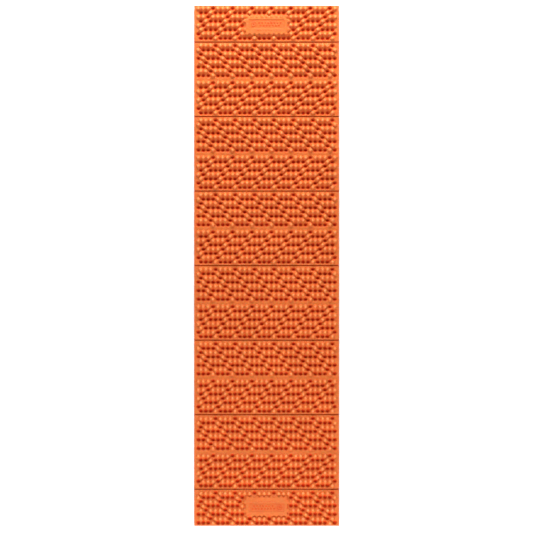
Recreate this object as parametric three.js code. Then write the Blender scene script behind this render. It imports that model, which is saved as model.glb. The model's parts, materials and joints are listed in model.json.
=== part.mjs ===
// A folding closed-cell foam sleeping pad, laid out flat.
//
// Fourteen formed foam panels lie in a row along Y and are joined by thirteen living hinges, so the
// pad folds up like an accordion. Each panel is a laminate of three sheets that follow one wave:
// a softer upper foam, a firmer lower foam, and a thin reflective film underneath. The wave has
// eight rows per panel, raised and sunk by turns, and a fold lays every raised row into a sunk one.
//
// Units are millimetres. X is the pad's width, Y its length and Z is up. The origin is at the middle
// of the pad, on the surface that it rests on.

import * as THREE from 'three';

// Overall size, and how the length is shared out between panels and the slits at their creases
const PAD_LENGTH = 1830;
const PAD_WIDTH = 510;
const PAD_HEIGHT = 23;
const PANEL_COUNT = 14;
const SLIT_WIDTH = 3.6;
const PANEL_PITCH = (PAD_LENGTH + SLIT_WIDTH) / PANEL_COUNT;

// The wave that all three sheets follow
const SHEET_THICKNESS = 7.4;
const ROW_COUNT = 8;
const ROW_PITCH = 14.9;
const ROW_FLAT = 5;
const MIDDLE_Z = PAD_HEIGHT / 2;
const AMPLITUDE = (PAD_HEIGHT - SHEET_THICKNESS) / 2;

// Thickness of each sheet of the laminate, from the top down, and the gap that keeps them apart
const LAYER_GAP = 0.4;
const LOWER_FOAM_THICKNESS = 2.3;
const FILM_THICKNESS = 0.5;

// Living hinges: the slit between two panels is closed on one side by a thin web
const WEB_THICKNESS = 1;
const WEB_GAP = 0.3;

// Heights above the wave's middle surface where each sheet starts and ends
const TOP = SHEET_THICKNESS / 2;
const BOTTOM = -TOP;
const FILM_TOP = BOTTOM + FILM_THICKNESS;
const LOWER_FOAM_BOTTOM = FILM_TOP + LAYER_GAP;
const LOWER_FOAM_TOP = LOWER_FOAM_BOTTOM + LOWER_FOAM_THICKNESS;
const UPPER_FOAM_BOTTOM = LOWER_FOAM_TOP + LAYER_GAP;

const upperFoam = { color: 0xf0703a, roughness: 0.72, metalness: 0 };
const lowerFoam = { color: 0x5d5f63, roughness: 0.8, metalness: 0 };
const reflectiveFilm = { color: 0xc9ccd0, roughness: 0.34, metalness: 0.85 };
const hingeFoam = { color: 0xe0622f, roughness: 0.7, metalness: 0 };

// Corner points [y, height] of the middle surface across one panel, from its -Y end to its +Y end.
// Row 0 is the row nearest the +Y end, and even rows are raised.
function waveCorners() {
  const end = (PANEL_PITCH - SLIT_WIDTH) / 2;
  const outerRow = ((ROW_COUNT - 1) / 2) * ROW_PITCH;
  const flatStrip = outerRow + ROW_PITCH / 2;
  const corners = [[-end, 0], [-flatStrip, 0]];
  for (let row = ROW_COUNT - 1; row >= 0; row -= 1) {
    const centre = outerRow - row * ROW_PITCH;
    const height = row % 2 === 0 ? AMPLITUDE : -AMPLITUDE;
    corners.push([centre - ROW_FLAT / 2, height], [centre + ROW_FLAT / 2, height]);
  }
  corners.push([flatStrip, 0], [end, 0]);
  return corners;
}

// Section of one sheet of the laminate, between two heights above the middle surface.
function sheetSection(bottom, top) {
  const corners = waveCorners();
  const lowerEdge = corners.map(([y, z]) => new THREE.Vector2(y, MIDDLE_Z + z + bottom));
  const upperEdge = corners.map(([y, z]) => new THREE.Vector2(y, MIDDLE_Z + z + top));
  return new THREE.Shape([...lowerEdge, ...upperEdge.reverse()]);
}

// Extrudes a section drawn in Y and Z across the pad's whole width.
function acrossThePad(section, name, finish) {
  const geometry = new THREE.ExtrudeGeometry(section, { depth: PAD_WIDTH, bevelEnabled: false });
  const mesh = new THREE.Mesh(geometry, new THREE.MeshStandardMaterial(finish));
  mesh.name = name;
  mesh.rotation.set(Math.PI / 2, Math.PI / 2, 0);
  mesh.position.x = -PAD_WIDTH / 2;
  return mesh;
}

function twoDigits(number) {
  return String(number).padStart(2, '0');
}

function panel(number) {
  const group = new THREE.Group();
  const digits = twoDigits(number);
  group.add(acrossThePad(sheetSection(UPPER_FOAM_BOTTOM, TOP), `upper_foam_${digits}`, upperFoam));
  group.add(acrossThePad(sheetSection(LOWER_FOAM_BOTTOM, LOWER_FOAM_TOP), `lower_foam_${digits}`, lowerFoam));
  group.add(acrossThePad(sheetSection(BOTTOM, FILM_TOP), `reflective_film_${digits}`, reflectiveFilm));
  group.position.y = ((PANEL_COUNT + 1) / 2 - number) * PANEL_PITCH;
  return group;
}

// The web of crease 1, 3, 5... lies at the underside, so that crease folds the undersides together.
// The web of crease 2, 4, 6... lies at the top, so that crease folds the top faces together.
function livingHinge(number) {
  const halfWidth = SLIT_WIDTH / 2 - WEB_GAP;
  const webBottom = MIDDLE_Z + (number % 2 === 0 ? TOP - WEB_THICKNESS : BOTTOM);
  const webTop = webBottom + WEB_THICKNESS;
  const section = new THREE.Shape([
    new THREE.Vector2(-halfWidth, webBottom),
    new THREE.Vector2(halfWidth, webBottom),
    new THREE.Vector2(halfWidth, webTop),
    new THREE.Vector2(-halfWidth, webTop),
  ]);
  const mesh = acrossThePad(section, `living_hinge_${twoDigits(number)}`, hingeFoam);
  mesh.position.y = (PANEL_COUNT / 2 - number) * PANEL_PITCH;
  return mesh;
}

const pad = new THREE.Group();
for (let number = 1; number <= PANEL_COUNT; number += 1) {
  pad.add(panel(number));
}
for (let number = 1; number < PANEL_COUNT; number += 1) {
  pad.add(livingHinge(number));
}

export default pad;
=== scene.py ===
"""A folding foam sleeping pad, laid out flat.

Each panel is formed foam: an orange upper foam on a grey base foam, with a silver film underneath. The top
face is a honeycomb of domes and cups. A cup stands where the facing panel has a dome, so folded panels nest.
"""

import json
import math

import bpy
import numpy as np
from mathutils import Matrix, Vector
from mathutils.geometry import delaunay_2d_cdt

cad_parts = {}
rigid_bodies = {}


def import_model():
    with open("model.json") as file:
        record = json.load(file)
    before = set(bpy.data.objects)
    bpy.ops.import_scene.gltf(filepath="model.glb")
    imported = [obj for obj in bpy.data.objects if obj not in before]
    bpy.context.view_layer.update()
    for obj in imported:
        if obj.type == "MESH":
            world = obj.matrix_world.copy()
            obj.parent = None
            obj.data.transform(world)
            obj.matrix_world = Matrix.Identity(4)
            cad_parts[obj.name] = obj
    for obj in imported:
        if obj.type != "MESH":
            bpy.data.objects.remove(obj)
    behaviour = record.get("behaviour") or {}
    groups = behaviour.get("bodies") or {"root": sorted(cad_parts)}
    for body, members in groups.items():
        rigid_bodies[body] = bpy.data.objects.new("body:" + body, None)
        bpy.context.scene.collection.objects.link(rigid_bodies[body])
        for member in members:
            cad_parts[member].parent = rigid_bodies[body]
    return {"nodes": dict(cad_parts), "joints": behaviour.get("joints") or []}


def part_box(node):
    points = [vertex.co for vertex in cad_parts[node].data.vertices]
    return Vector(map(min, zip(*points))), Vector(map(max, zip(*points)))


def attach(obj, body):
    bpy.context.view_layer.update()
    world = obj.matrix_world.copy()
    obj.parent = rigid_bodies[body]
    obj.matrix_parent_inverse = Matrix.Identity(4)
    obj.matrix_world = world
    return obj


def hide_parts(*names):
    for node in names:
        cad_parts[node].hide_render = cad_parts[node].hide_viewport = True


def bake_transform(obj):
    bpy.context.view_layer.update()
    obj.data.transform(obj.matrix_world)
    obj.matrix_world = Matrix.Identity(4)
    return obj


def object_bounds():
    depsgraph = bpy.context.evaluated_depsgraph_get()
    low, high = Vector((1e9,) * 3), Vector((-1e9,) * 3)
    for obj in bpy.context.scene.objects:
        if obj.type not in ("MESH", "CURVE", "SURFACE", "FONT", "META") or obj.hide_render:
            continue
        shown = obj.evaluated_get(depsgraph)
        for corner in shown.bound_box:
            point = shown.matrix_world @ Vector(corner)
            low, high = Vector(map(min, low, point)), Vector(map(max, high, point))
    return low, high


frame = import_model()
CAD_LOW, CAD_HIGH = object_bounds()

# ---------------------------------------------------------------- sizes, in metres, read from the frame

PANEL_COUNT = sum(name.startswith("upper_foam_") for name in frame["nodes"])
PANEL_LOW, PANEL_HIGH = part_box("upper_foam_01")
HALF_WIDTH = PANEL_HIGH.x
HALF_PANEL = (PANEL_HIGH.y - PANEL_LOW.y) / 2
MIDDLE_Z = (CAD_LOW.z + CAD_HIGH.z) / 2
STRIP_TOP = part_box("living_hinge_02")[1].z - MIDDLE_Z
AMPLITUDE = CAD_HIGH.z - MIDDLE_Z - STRIP_TOP
WEB_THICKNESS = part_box("living_hinge_02")[1].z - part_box("living_hinge_02")[0].z
SLIT_WIDTH = PANEL_LOW.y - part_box("upper_foam_02")[1].y

# The bottom and top of each layer, as heights above the laminate's middle surface
UPPER_FOAM = (-0.0003, STRIP_TOP)
BASE_FOAM = (-0.00325, -0.00035)
FILM = (-STRIP_TOP, -0.0033)

# ---------------------------------------------------------------- the honeycomb

# Nodes stand in rows, two columns apart, and each row is set one column over from the next.
# Even rows hold domes and odd rows cups. Slanting chains run across, where domes and cups change places.
ROW_COUNT = 8
LAST_COLUMN = 56
MIDDLE_COLUMN = 28
MIDDLE_ROW = (ROW_COUNT - 1) / 2
ROW_PITCH = 0.0149
NODE_PITCH = 0.01713
APOTHEM = NODE_PITCH / 2
ROW_SQUEEZE = NODE_PITCH * math.sqrt(3) / 2 / ROW_PITCH
CHAIN_SPACING = 8
CHAIN_PHASES = (6, 7)

# Steps in column and row to a node's six neighbours, anticlockwise from +X
NEIGHBOURS = ((2, 0), (1, -1), (-1, -1), (-2, 0), (-1, 1), (1, 1))

# How full domes and cups are, and how far the edges between cells rise or sink
DOME_ROUNDNESS = 0.65
CUP_ROUNDNESS = 0.4
SADDLE = 0.1

# Painted shading runs from -1, deep red painted shade at the bottom of a cup, to 1, a pale painted highlight
# on a dome's crown. These add a painted highlight along ridges and painted shade along valleys, and set how
# thin their lines are
RIDGE_PAINTED_HIGHLIGHT = 0.6
VALLEY_PAINTED_SHADE = 0.2
RIDGE_SHARPNESS = 4

# The smooth badge area on the first and last panels: its rows, and columns to each side of the middle
FIRST_BADGE_ROWS = range(2, 7)
LAST_BADGE_ROWS = range(1, 6)
BADGE_REACH = 9

# The badge's height as a share of a dome's, its rim's width in apothems, and what each part adds to the
# painted shading: the plateau's level, painted shade on the rim beside cups, a painted highlight on crowns
# above the plateau, painted shade in the recess, and darker marks
BADGE_LEVEL = 0.86
BADGE_SLOPE = 0.85
BADGE_TONE = 0.05
BADGE_RIM_PAINTED_SHADE = 1.6
CROWN_PAINTED_HIGHLIGHT = 5.0
RECESS_PAINTED_SHADE = 0.2
MARK_TONE = -0.35

# The sunk frame in the badge, and the marks raised in it
BADGE_HALF = (0.0626, 0.0147)
BADGE_OFFSET = 0.0052
BADGE_CORNER = 0.003
BADGE_BEVEL = 0.0012
BADGE_RECESS = 0.0018
BADGE_MARK = 0.0011

# The marks in the badge's frame, as places and sizes from its middle
RING_X = -0.045
RING_RADIUS = 0.0078
RING_WIDTH = 0.0022
RING_CORE = 0.0034
DOTS_START = -0.026
DOT_COUNT = 8
DOT_SPACING = 0.0108
DOT_ROW_SPACING = 0.0094
DOT_RADIUS = 0.0032
DASHES_START = -0.03
DASHES_Y = -0.0212
DASH_COUNT = 9
DASH_SPACING = 0.0096
DASH_HALF = (0.0033, 0.0009)

# Mesh spacing, as steps from a node's centre to a corner of its hexagon
FINE_STEPS = 4
COARSE_STEPS = 3

# The rounded rim: rings of points at these distances inside it, and how far it falls
BORDER_SPACING = 0.0025
BORDER_INSETS = (0.0004, 0.001, 0.002)
BORDER_GAP = 0.6
EDGE_RADIUS = 0.0013
EDGE_FALL = 0.85
BOTTOM_ROUNDING = 0.25

# The finer mesh of the badge
BADGE_GRID = 0.0009
BADGE_GRID_SIZE = (0.15, 0.058)

CDT_INSIDE = 1
CDT_CLOSENESS = 1e-7
SHARP_ANGLE = math.radians(42)


def two_digits(number):
    return f"{number:02d}"


def smooth_step(value):
    value = np.clip(value, 0, 1)
    return value * value * (3 - 2 * value)


class Panel:
    """What sets one panel apart: its place, its slant, which of its ends fold, and its badge rows.

    The badge is on the top face only. The other faces carry the honeycomb on under it, so that they nest.
    """

    def __init__(self, number, badge=True):
        low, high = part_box(f"upper_foam_{two_digits(number)}")
        self.number = number
        self.digits = two_digits(number)
        self.centre_y = (low.y + high.y) / 2
        self.slant = (number + 1) % 2
        self.badge_rows = ()
        self.badge_turn = 1
        if badge and number == 1:
            self.badge_rows = FIRST_BADGE_ROWS
        if badge and number == PANEL_COUNT:
            self.badge_rows = LAST_BADGE_ROWS
            self.badge_turn = -1

    def badge_centre(self):
        middle = sum(self.badge_rows) / len(self.badge_rows)
        return (MIDDLE_ROW - middle) * ROW_PITCH

    def in_badge(self, column, row):
        if not self.badge_rows:
            return np.zeros(column.shape, bool)
        inside = (row >= self.badge_rows[0]) & (row <= self.badge_rows[-1])
        return inside & (np.abs(column - MIDDLE_COLUMN) <= BADGE_REACH)

    def open_above(self):
        """(whether the slit at the -Y end opens upwards, the same at the +Y end)."""
        ends = (self.number, self.number - 1)
        return [crease % 2 == 1 or crease in (0, PANEL_COUNT) for crease in ends]

    def open_below(self):
        """The same for slits that open downwards."""
        ends = (self.number, self.number - 1)
        return [crease % 2 == 0 or crease in (0, PANEL_COUNT) for crease in ends]


def nearest_node(panel, x, y):
    """Column and row of the node nearest each point, and the offset from it in apothems."""
    column = x / APOTHEM + MIDDLE_COLUMN
    row = MIDDLE_ROW - y / ROW_PITCH
    found = []
    for near_row in (np.floor(row), np.floor(row) + 1):
        parity = (near_row + panel.slant) % 2
        near_column = 2 * np.round((column - parity) / 2) + parity
        across = column - near_column
        along = (near_row - row) * ROW_PITCH * ROW_SQUEEZE / APOTHEM
        found.append((near_column, near_row, across, along))
    first = np.hypot(found[0][2], found[0][3]) <= np.hypot(found[1][2], found[1][3])
    return [np.where(first, a, b) for a, b in zip(*found)]


def towards(across, along, degrees):
    """How far a point lies in the direction at this angle from +X."""
    return across * math.cos(math.radians(degrees)) + along * math.sin(math.radians(degrees))


def node_sign(panel, column, row):
    """1 for a dome, -1 for a cup, 0 outside the honeycomb. Slanting chains break up each row."""
    along_chain = column - row if panel.slant else column + row
    swapped = along_chain % CHAIN_SPACING == CHAIN_PHASES[panel.slant]
    sign = np.where(row % 2 == 0, 1, -1) * np.where(swapped, -1, 1)
    real = (row >= 0) & (row < ROW_COUNT) & (column >= 0) & (column <= LAST_COLUMN)
    return np.where(real & ~panel.in_badge(column, row), sign, 0)


def edge_level(panel, column, row, across, along):
    """Height where cells meet: raised between neighbouring cups, sunk between neighbouring domes."""
    own = node_sign(panel, column, row)
    around = [node_sign(panel, column + step[0], row + step[1]) for step in NEIGHBOURS]
    angle = np.arctan2(along, across)
    level = np.zeros(own.shape)
    for corner in range(6):
        first, second = around[corner], around[(corner + 1) % 6]
        corner_height = np.where(own * first * second != 0, -SADDLE * np.sign(own + first + second), 0)
        off = angle - math.radians(60 * corner + 30)
        off = np.abs((off + math.pi) % (2 * math.pi) - math.pi)
        level += corner_height * np.where(off < math.pi / 3, (1 + np.cos(3 * off)) / 2, 0)
    return level


def badge_plateau(panel, column, row, across, along, crown):
    """(height, painted shading) of the badge: a plateau with a sloping rim, and domes merged into its outer
    rows.
    """
    plateau = np.full(column.shape, BADGE_LEVEL)
    painted_shading = np.full(column.shape, BADGE_TONE)
    for place, (column_step, row_step) in enumerate(NEIGHBOURS):
        beside = (column + column_step, row + row_step)
        slope = smooth_step((1 - towards(across, along, 60 * place)) / BADGE_SLOPE)
        slope = np.where(panel.in_badge(*beside), 1, slope)
        plateau *= slope
        # Painted shade on the rim's slope beside cups
        painted_shading += BADGE_RIM_PAINTED_SHADE * np.minimum(node_sign(panel, *beside), 0) * slope * (1 - slope)
    height = np.maximum(plateau, np.where(row % 2 == 0, crown, 0))
    outer = (row == panel.badge_rows[0]) | (row == panel.badge_rows[-1])
    height = np.where(outer, height, plateau)
    # A painted highlight on crowns that rise above the plateau
    return height, painted_shading * plateau / BADGE_LEVEL + CROWN_PAINTED_HIGHLIGHT * np.maximum(height - BADGE_LEVEL, 0)


def relief(panel, x, y):
    """(height, painted shading) of the wave at each point: -1, painted shade at the bottom of a cup, 1, a
    painted highlight on the crown of a dome.
    """
    column, row, across, along = nearest_node(panel, x, y)
    fullness = np.ones(x.shape)
    for degrees in (0, 60, 120):
        fullness *= np.clip(1 - towards(across, along, degrees) ** 2, 0, 1)
    level = edge_level(panel, column, row, across, along)
    sign = node_sign(panel, column, row)
    roundness = np.where(sign < 0, CUP_ROUNDNESS, DOME_ROUNDNESS)
    crown = fullness + roundness * fullness * (1 - fullness)
    wave = np.where(sign == 0, 0, level + (sign - level) * crown)
    # Painted highlight in thin lines along ridges between cups, and painted shade along valleys between domes
    ridge = np.where(level > 0, RIDGE_PAINTED_HIGHLIGHT, VALLEY_PAINTED_SHADE) * level / SADDLE
    painted_shading = wave + ridge * np.clip(1 - crown, 0, 1) ** RIDGE_SHARPNESS
    if not panel.badge_rows:
        return wave, painted_shading
    badge = panel.in_badge(column, row)
    height, badge_painted_shading = badge_plateau(panel, column, row, across, along, crown)
    return np.where(badge, height, wave), np.where(badge, badge_painted_shading, painted_shading)


def box_distance(x, y, half_x, half_y, radius):
    """Distance outside a rounded rectangle round the origin, negative inside it."""
    outside_x = np.abs(x) - half_x + radius
    outside_y = np.abs(y) - half_y + radius
    corner = np.hypot(np.maximum(outside_x, 0), np.maximum(outside_y, 0))
    return corner + np.minimum(np.maximum(outside_x, outside_y), 0) - radius


def hexagon_distance(x, y, radius):
    """Distance outside a hexagon round the origin, negative inside it. The radius is to its sides."""
    return np.max([np.abs(towards(x, y, degrees)) for degrees in (30, 90, 150)], axis=0) - radius


def badge_marks(x, y):
    """Distance to the raised marks: a hexagon in a ring, two rows of small hexagons, and a dashed line."""
    ring = np.abs(hexagon_distance(x - RING_X, y, RING_RADIUS)) - RING_WIDTH / 2
    marks = [ring, hexagon_distance(x - RING_X, y, RING_CORE)]
    for row in (0, 1):
        for place in range(DOT_COUNT - row):
            dot_x = DOTS_START + (place + row / 2) * DOT_SPACING
            marks.append(hexagon_distance(x - dot_x, y + (row - 0.5) * DOT_ROW_SPACING, DOT_RADIUS))
    for place in range(DASH_COUNT):
        dash_x = DASHES_START + place * DASH_SPACING
        marks.append(box_distance(x - dash_x, y - DASHES_Y, *DASH_HALF, DASH_HALF[1]))
    return np.min(marks, axis=0)


def badge_relief(panel, x, y):
    """(height in metres, painted shading) that the recessed frame and the marks in it add to the badge:
    painted shade in the recess, and darker marks.
    """
    if not panel.badge_rows:
        return np.zeros(x.shape), np.zeros(x.shape)
    local_x = x * panel.badge_turn
    local_y = (y - panel.badge_centre()) * panel.badge_turn - BADGE_OFFSET
    recess = smooth_step(0.5 - box_distance(local_x, local_y, *BADGE_HALF, BADGE_CORNER) / BADGE_BEVEL)
    marks = smooth_step(0.5 - badge_marks(local_x, local_y) / BADGE_BEVEL)
    # Painted shade in the recess, and darker marks
    return BADGE_MARK * marks - BADGE_RECESS * recess, MARK_TONE * marks - RECESS_PAINTED_SHADE * recess


# ---------------------------------------------------------------- meshes

def lattice_points(panel, steps):
    """Points of a fine triangular lattice that runs along the edges of the hexagons."""
    corner = NODE_PITCH / math.sqrt(3) / steps
    step_x = corner * math.cos(math.radians(30))
    step_y = corner / 2 / ROW_SQUEEZE
    start_x = (panel.slant - MIDDLE_COLUMN % 2) * APOTHEM
    start_y = MIDDLE_ROW * ROW_PITCH
    reach = round(2 * HALF_WIDTH / step_x)
    steps_either_way = np.arange(-reach, reach + 1)
    i, j = np.meshgrid(steps_either_way, steps_either_way)
    together = (i + j) % 2 == 0
    x = start_x + i[together] * step_x
    y = start_y + j[together] * step_y
    margin = BORDER_INSETS[-1] + corner * BORDER_GAP
    inside = (np.abs(x) < HALF_WIDTH - margin) & (np.abs(y) < HALF_PANEL - margin)
    return np.column_stack([x[inside], y[inside]])


def border_points(inset):
    """Points round the panel's rectangle, anticlockwise, at this distance inside it."""
    across = np.linspace(-1, 1, round(2 * HALF_WIDTH / BORDER_SPACING) + 1)[:-1] * (HALF_WIDTH - inset)
    along = np.linspace(-1, 1, round(2 * HALF_PANEL / BORDER_SPACING) + 1)[:-1] * (HALF_PANEL - inset)
    right = np.full(along.shape, HALF_WIDTH - inset)
    top = np.full(across.shape, HALF_PANEL - inset)
    x = np.concatenate([across, right, -across, -right])
    y = np.concatenate([-top, along, top, -along])
    return np.column_stack([x, y])


def badge_grid(panel):
    """A fine square grid of points over the badge."""
    sides = [np.linspace(-size / 2, size / 2, round(size / BADGE_GRID)) for size in BADGE_GRID_SIZE]
    x, y = np.meshgrid(*sides)
    return np.column_stack([x.ravel(), y.ravel() + panel.badge_centre()])


def triangulate(panel, steps):
    """(points, triangles) that fill the panel's rectangle. The border points come first."""
    border = border_points(0)
    inner = lattice_points(panel, steps)
    extra = []
    if panel.badge_rows:
        extra = [badge_grid(panel)]
        low = extra[0].min(0) - BADGE_GRID
        high = extra[0].max(0) + BADGE_GRID
        inner = inner[~np.all((inner > low) & (inner < high), axis=1)]
    points = np.vstack([border, *[border_points(inset) for inset in BORDER_INSETS], inner, *extra])
    count = len(border)
    edges = [(k, (k + 1) % count) for k in range(count)]
    made = delaunay_2d_cdt([tuple(point) for point in points], edges, [], CDT_INSIDE, CDT_CLOSENESS)
    out_points = np.array([tuple(point) for point in made[0]])
    out_triangles = np.array(made[2])
    # made[3] lists, for each new point, the old ones that it stands for
    place = np.full(len(points), -1)
    for new, old in enumerate(made[3]):
        place[old] = new
    order = np.concatenate([place[:count], np.setdiff1d(np.arange(len(out_points)), place[:count])])
    rank = np.empty(len(order), int)
    rank[order] = np.arange(len(order))
    points, triangles = out_points[order], rank[out_triangles]
    a, b, c = (points[triangles[:, k]] for k in range(3))
    clockwise = np.cross(b - a, c - a) < 0
    triangles[clockwise] = triangles[clockwise][:, ::-1]
    return points, triangles


def edge_drop(points, ends):
    """How far a rounded edge falls below the face. ends says whether the -Y and +Y ends are rounded."""
    x, y = points[:, 0], points[:, 1]
    distances = [HALF_WIDTH - np.abs(x)]
    if ends[0]:
        distances.append(HALF_PANEL + y)
    if ends[1]:
        distances.append(HALF_PANEL - y)
    inward = np.clip(1 - np.min(distances, axis=0) / EDGE_RADIUS, 0, 1)
    return EDGE_RADIUS * (1 - np.sqrt(1 - inward**2)) * EDGE_FALL


def closed_sheet(name, top, bottom, centre_y):
    """A closed body between two faces that share their border. A face is (points, triangles, z, painted
    shading).
    """
    lower = len(top[0])
    ring = np.arange(len(border_points(0)))
    after = np.roll(ring, -1)
    upper_walls = np.column_stack([ring, after + lower, after])
    lower_walls = np.column_stack([ring, ring + lower, after + lower])
    faces = np.vstack([top[1], bottom[1][:, ::-1] + lower, upper_walls, lower_walls])
    points = np.vstack([np.column_stack([face[0], face[2]]) for face in (top, bottom)])
    points += (0, centre_y, MIDDLE_Z)
    return mesh_object(name, points, faces, np.concatenate([top[3], bottom[3]]))


def mesh_object(name, points, faces, painted_shading):
    """A smooth-shaded object whose points carry the painted light and shade that the foam's colour follows.
    """
    mesh = bpy.data.meshes.new(name)
    mesh.from_pydata(points.tolist(), [], faces.tolist())
    mesh.attributes.new("painted_shading", "FLOAT", "POINT").data.foreach_set("value", painted_shading.astype(np.float32))
    mesh.polygons.foreach_set("use_smooth", np.ones(len(faces), bool))
    mesh.set_sharp_from_angle(angle=SHARP_ANGLE)
    mesh.update()
    obj = bpy.data.objects.new(name, mesh)
    bpy.context.scene.collection.objects.link(obj)
    return obj


# ---------------------------------------------------------------- materials

# Most of a noise's values lie in this range
NOISE_RANGE = (0.3, 0.7)


class Nodes:
    """A short way to lay out a material's node tree."""

    def __init__(self, name):
        self.material = bpy.data.materials.new(name)
        self.material.use_nodes = True
        self.tree = self.material.node_tree
        self.shader = self.tree.nodes["Principled BSDF"]
        self.place = self.add("ShaderNodeTexCoord").outputs["Object"]

    def add(self, kind, inputs=None, **settings):
        node = self.tree.nodes.new(kind)
        for key, value in settings.items():
            setattr(node, key, value)
        for key, value in (inputs or {}).items():
            if isinstance(value, bpy.types.NodeSocket):
                self.tree.links.new(value, node.inputs[key])
            else:
                node.inputs[key].default_value = value
        return node

    def noise(self, size, detail=3.0, roughness=0.5):
        """Noise from 0 to 1 whose features are about this many metres across."""
        inputs = {"Vector": self.place, "Scale": 1 / size, "Detail": detail, "Roughness": roughness}
        return self.add("ShaderNodeTexNoise", inputs).outputs["Fac"]

    def cells(self, size):
        """Rounded cells about this many metres across."""
        inputs = {"Vector": self.place, "Scale": 1 / size}
        return self.add("ShaderNodeTexVoronoi", inputs).outputs["Distance"]

    def ramp(self, value, stops):
        """The colour that the value picks. A stop is (position, colour)."""
        stops = list(stops)
        node = self.add("ShaderNodeValToRGB", {"Fac": value})
        elements = node.color_ramp.elements
        while len(elements) < len(stops):
            elements.new(0.5)
        for element, (position, colour) in zip(elements, stops):
            element.position = position
            element.color = (*colour, 1)
        return node.outputs["Color"]

    def spread(self, value, low, high, source=NOISE_RANGE):
        inputs = {"Value": value, "From Min": source[0], "From Max": source[1], "To Min": low, "To Max": high}
        return self.add("ShaderNodeMapRange", inputs).outputs["Result"]

    def scale_colour(self, colour, factor):
        scaled = self.add("ShaderNodeVectorMath", {0: colour, "Scale": factor}, operation="SCALE")
        return scaled.outputs["Vector"]

    def bump(self, height, distance, strength, under=None):
        inputs = {"Height": height, "Distance": distance, "Strength": strength}
        if under is not None:
            inputs["Normal"] = under
        return self.add("ShaderNodeBump", inputs).outputs["Normal"]

    def link(self, socket, value):
        self.tree.links.new(value, self.shader.inputs[socket])

    def set(self, socket, value):
        self.shader.inputs[socket].default_value = value


# Light enters the foam's thin skin a little way, red furthest
GLOW_WEIGHT = 0.4
GLOW_COLOUR = (1.0, 0.18, 0.06)
GLOW_DEPTH = 0.003

# Where the colours of cup, strip, flank and dome stand, from the deepest painted shade (0) to the palest
# painted highlight (1)
COLOUR_STOPS = (0.08, 0.5, 0.84, 1.0)


def foam_material(name, cup, strip, flank, dome):
    """Closed-cell foam with a moulded skin: fine cells and faint mottling, coloured by the points' painted
    shading, from painted shade deep in cups to a pale painted highlight on crowns.
    """
    nodes = Nodes(name)
    painted_shading = nodes.add("ShaderNodeAttribute", attribute_name="painted_shading").outputs["Fac"]
    wander = nodes.spread(nodes.noise(size=0.006, detail=2), -0.05, 0.05)
    level = nodes.add("ShaderNodeMath", {0: painted_shading, 1: wander}, operation="ADD").outputs["Value"]
    position = nodes.spread(level, 0.0, 1.0, source=(-1.0, 1.0))
    colour = nodes.ramp(position, zip(COLOUR_STOPS, (cup, strip, flank, dome)))
    mottling = nodes.spread(nodes.noise(size=0.09, detail=4), 0.95, 1.04)
    speckle = nodes.spread(nodes.noise(size=0.0016, detail=2), 0.93, 1.06)
    nodes.link("Base Color", nodes.scale_colour(nodes.scale_colour(colour, mottling), speckle))
    nodes.link("Roughness", nodes.spread(nodes.noise(size=0.012), 0.44, 0.6))
    nodes.set("Specular IOR Level", 0.12)
    nodes.set("Subsurface Weight", GLOW_WEIGHT)
    nodes.set("Subsurface Radius", GLOW_COLOUR)
    nodes.set("Subsurface Scale", GLOW_DEPTH)
    skin = nodes.bump(nodes.noise(size=0.005), distance=0.0003, strength=0.35)
    nodes.link("Normal", nodes.bump(nodes.cells(size=0.0011), distance=0.00012, strength=0.5, under=skin))
    return nodes.material


def film_material():
    """Metallised film pressed on to foam: satin, with fine crinkles."""
    nodes = Nodes("silver_film")
    tarnish = nodes.noise(size=0.05, detail=4)
    nodes.link("Base Color", nodes.ramp(tarnish, zip(NOISE_RANGE, ((0.60, 0.61, 0.63), (0.78, 0.79, 0.81)))))
    nodes.set("Metallic", 1.0)
    nodes.link("Roughness", nodes.spread(nodes.noise(size=0.008, detail=4), 0.38, 0.55))
    crinkle = nodes.bump(nodes.noise(size=0.007, detail=5, roughness=0.65), distance=0.0008, strength=0.5)
    nodes.link("Normal", nodes.bump(nodes.cells(size=0.0018), distance=0.0001, strength=0.4, under=crinkle))
    return nodes.material


def floor_material():
    """A pale matt floor that gives off a little light, so that the pad's shadow on it is faint."""
    nodes = Nodes("pale_floor")
    patches = nodes.noise(size=0.8)
    nodes.link("Base Color", nodes.ramp(patches, zip(NOISE_RANGE, ((0.93, 0.93, 0.93), (0.95, 0.95, 0.95)))))
    nodes.set("Roughness", 0.9)
    nodes.set("Emission Color", (1, 1, 1, 1))
    nodes.set("Emission Strength", 0.12)
    return nodes.material


# Each foam's colours run from painted shade in cups, through strips and flanks, to a painted highlight on
# crowns
orange_foam = foam_material("orange_foam", (0.56, 0.053, 0.008), (0.62, 0.173, 0.052),
                            (0.66, 0.171, 0.049), (0.80, 0.315, 0.126))
grey_foam = foam_material("grey_foam", (0.10, 0.10, 0.11), (0.13, 0.13, 0.14),
                          (0.14, 0.14, 0.15), (0.16, 0.16, 0.17))
# On the webs, the first colour is a painted glow: a bright red in the shade at the bottom of a slit
hinge_foam = foam_material("web_foam_painted_slit_glow", (0.92, 0.15, 0.023), (0.62, 0.165, 0.047),
                           (0.65, 0.175, 0.052), (0.70, 0.185, 0.057))
silver_film = film_material()

# ---------------------------------------------------------------- the panels

def face_at(panel, grid, height):
    """A face of a layer, as closed_sheet takes it: the panel's wave, this far above the middle surface."""
    points, triangles = grid
    wave, painted_shading = relief(panel, points[:, 0], points[:, 1])
    extra_height, extra_painted_shading = badge_relief(panel, points[:, 0], points[:, 1])
    return points, triangles, wave * AMPLITUDE + extra_height + height, painted_shading + extra_painted_shading


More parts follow.
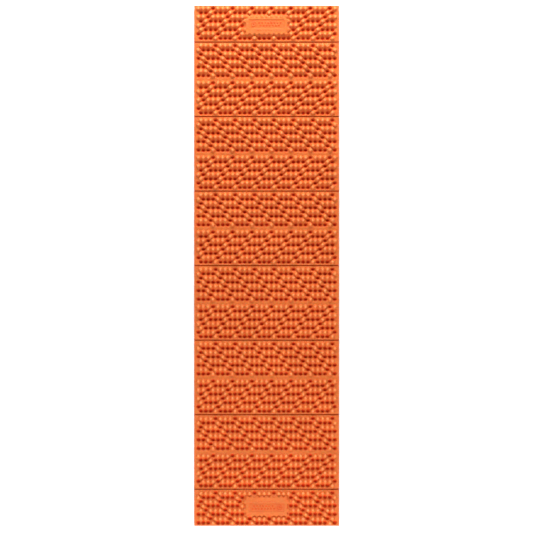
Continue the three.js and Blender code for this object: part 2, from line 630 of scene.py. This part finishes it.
def add_panel(number):
    """One panel's three layers, each a closed body."""
    panel = Panel(number)
    plain = Panel(number, badge=False)
    fine = triangulate(panel, FINE_STEPS)
    coarse = triangulate(plain, COARSE_STEPS)
    rounded_top = edge_drop(fine[0], panel.open_above())
    rounded_bottom = edge_drop(coarse[0], panel.open_below()) * BOTTOM_ROUNDING
    layers = [
        ("foam_top", "upper_foam", orange_foam,
         face_at(panel, fine, UPPER_FOAM[1] - rounded_top), face_at(plain, coarse, UPPER_FOAM[0])),
        ("foam_base", "lower_foam", grey_foam,
         face_at(plain, coarse, BASE_FOAM[1]), face_at(plain, coarse, BASE_FOAM[0])),
        ("film_skin", "reflective_film", silver_film,
         face_at(plain, coarse, FILM[1]), face_at(plain, coarse, FILM[0] + rounded_bottom)),
    ]
    for name, node, material, top, bottom in layers:
        piece = closed_sheet(f"{name}_{panel.digits}", top, bottom, panel.centre_y)
        piece.data.materials.append(material)
        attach(piece, f"panel_{panel.digits}")
        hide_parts(f"{node}_{panel.digits}")


# ---------------------------------------------------------------- the creases

WEB_STEPS = 12
RIPPLE_HEIGHT = 0.00006
RIPPLE_LENGTHS = (0.0031, 0.0077)

# Webs level with the top face show as strips. Those at the bottom of a slit are painted a bright red, a
# painted glow in the shade of the slit
STRIP_TONE = 0.0
SLIT_PAINTED_GLOW = -1.0


def web_body(name, centre_y, top_z, painted_shading):
    """(web, count of its top faces). The web is one crease's thin foam, finely divided along Y."""
    across = np.linspace(-HALF_WIDTH, HALF_WIDTH, round(HALF_WIDTH / BORDER_SPACING) + 1)
    along = np.linspace(-SLIT_WIDTH / 2, SLIT_WIDTH / 2, WEB_STEPS + 1)
    x, y = (axis.ravel() for axis in np.meshgrid(across, along))
    columns = len(across)
    count = len(x)
    ripple = np.sin(x / RIPPLE_LENGTHS[0]) * np.sin(x / RIPPLE_LENGTHS[1] + 1)
    top = RIPPLE_HEIGHT * ripple * np.cos(y / SLIT_WIDTH * math.pi)
    bottom = np.full(count, -WEB_THICKNESS)
    points = np.vstack([np.column_stack([x, y, top]), np.column_stack([x, y, bottom])])
    points += (0, centre_y, top_z)
    i, j = (axis.ravel() for axis in np.meshgrid(np.arange(columns - 1), np.arange(WEB_STEPS)))
    a = j * columns + i
    quads = np.column_stack([a, a + 1, a + 1 + columns, a + columns])
    ring = np.concatenate([np.arange(columns - 1), np.arange(1, WEB_STEPS + 1) * columns - 1,
                           count - 1 - np.arange(columns - 1), columns * np.arange(WEB_STEPS, 0, -1)])
    after = np.roll(ring, -1)
    walls = np.column_stack([ring, ring + count, after + count, after])
    faces = np.vstack([quads, quads[:, ::-1] + count, walls])
    return mesh_object(name, points, faces, np.full(2 * count, painted_shading)), len(quads)


def add_crease(joint):
    """The web of one crease, orange above and filmed below, between its two panels."""
    number = joint["name"][-2:]
    node = f"living_hinge_{number}"
    low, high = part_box(node)
    painted_shading = STRIP_TONE if high.z > MIDDLE_Z else SLIT_PAINTED_GLOW
    piece, quads = web_body(f"crease_web_{number}", (low.y + high.y) / 2, high.z, painted_shading)
    piece.data.materials.append(hinge_foam)
    piece.data.materials.append(silver_film)
    slots = np.zeros(len(piece.data.polygons), np.int32)
    slots[quads:2 * quads] = 1
    piece.data.polygons.foreach_set("material_index", slots)
    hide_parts(node)
    # A half turn has no sense of its own, so the bodies are put in the order that makes it one about +X
    first, second = joint["parent"], joint["child"]
    if joint["axis"][0] < 0:
        first, second = second, first
    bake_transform(piece)


for number in range(1, PANEL_COUNT + 1):
    add_panel(number)
for joint in frame["joints"]:
    add_crease(joint)

# ---------------------------------------------------------------- stage, light and camera

FLOOR_RADIUS = 5.0
COVE_RADIUS = 2.5
WALL_HEIGHT = 5.0
COVE_STEPS = 12
FLOOR_SEGMENTS = 72
FLOOR_DROP = 0.0002
CAMERA_HEIGHT = 4.0
VIEW_SIDE = 1.8757
CAMERA_OFFSET = (-0.0004, -0.0028)
CLIP_END = 50
SENSOR = 36.0
SKY = 0.08

# Each soft light hangs past one end of the pad: how far out, how high, its power, and where it points
HEAD_LIGHT = {"out": 1.5, "up": 1.2, "power": 100, "aim": 0.2}
FOOT_LIGHT = {"out": 1.3, "up": 1.7, "power": 65, "aim": -0.2}
LIGHT_SIZE = (2.6, 0.9)


def add_floor():
    """A wide round floor that curves up into a wall all round."""
    bends = [math.pi / 2 * step / COVE_STEPS for step in range(COVE_STEPS + 1)]
    profile = []
    for bend in bends:
        profile.append((FLOOR_RADIUS + COVE_RADIUS * math.sin(bend), COVE_RADIUS * (1 - math.cos(bend))))
    profile.append((FLOOR_RADIUS + COVE_RADIUS, WALL_HEIGHT))
    turns = [2 * math.pi * step / FLOOR_SEGMENTS for step in range(FLOOR_SEGMENTS)]
    points = [(out * math.cos(turn), out * math.sin(turn), up) for out, up in profile for turn in turns]
    faces = [list(range(FLOOR_SEGMENTS))]
    for ring in range(len(profile) - 1):
        for side in range(FLOOR_SEGMENTS):
            a = ring * FLOOR_SEGMENTS + side
            b = ring * FLOOR_SEGMENTS + (side + 1) % FLOOR_SEGMENTS
            faces.append([a, b, b + FLOOR_SEGMENTS, a + FLOOR_SEGMENTS])
    mesh = bpy.data.meshes.new("floor")
    mesh.from_pydata(points, [], [face if len(face) > 4 else face[::-1] for face in faces])
    mesh.polygons.foreach_set("use_smooth", [len(face) == 4 for face in faces])
    floor = bpy.data.objects.new("floor", mesh)
    bpy.context.scene.collection.objects.link(floor)
    floor.location.z = CAD_LOW.z - FLOOR_DROP
    floor.data.materials.append(floor_material())


def add_end_light(name, end, out, up, power, aim):
    """A soft light past one end of the pad: end is 1 for the +Y end and -1 for the -Y end."""
    data = bpy.data.lights.new(name, "AREA")
    data.shape = "RECTANGLE"
    data.size, data.size_y = LIGHT_SIZE
    data.energy = power
    light = bpy.data.objects.new(name, data)
    place = Vector((0, end * (CAD_HIGH.y + out), up))
    light.location = place
    light.visible_camera = False
    light.rotation_euler = (Vector((0, aim, 0)) - place).to_track_quat("-Z", "Y").to_euler()
    bpy.context.scene.collection.objects.link(light)


def add_sky():
    """Faint even light from all round."""
    world = bpy.data.worlds.new("studio")
    world.use_nodes = True
    background = world.node_tree.nodes["Background"]
    background.inputs["Color"].default_value = (1, 1, 1, 1)
    background.inputs["Strength"].default_value = SKY
    bpy.context.scene.world = world


def add_camera():
    """A camera straight above the pad. VIEW_SIDE is how wide a stretch it sees at the pad's middle level."""
    data = bpy.data.cameras.new("camera")
    data.sensor_width = SENSOR
    data.lens = SENSOR / (VIEW_SIDE / (CAMERA_HEIGHT - MIDDLE_Z))
    data.clip_end = CLIP_END
    camera = bpy.data.objects.new("camera", data)
    camera.location = (*CAMERA_OFFSET, CAMERA_HEIGHT)
    bpy.context.scene.collection.objects.link(camera)
    bpy.context.scene.camera = camera


add_floor()
add_end_light("head_light", 1, **HEAD_LIGHT)
add_end_light("foot_light", -1, **FOOT_LIGHT)
add_sky()
add_camera()
bpy.context.scene.view_settings.view_transform = "Standard"
bpy.context.scene.view_settings.look = "Medium High Contrast"
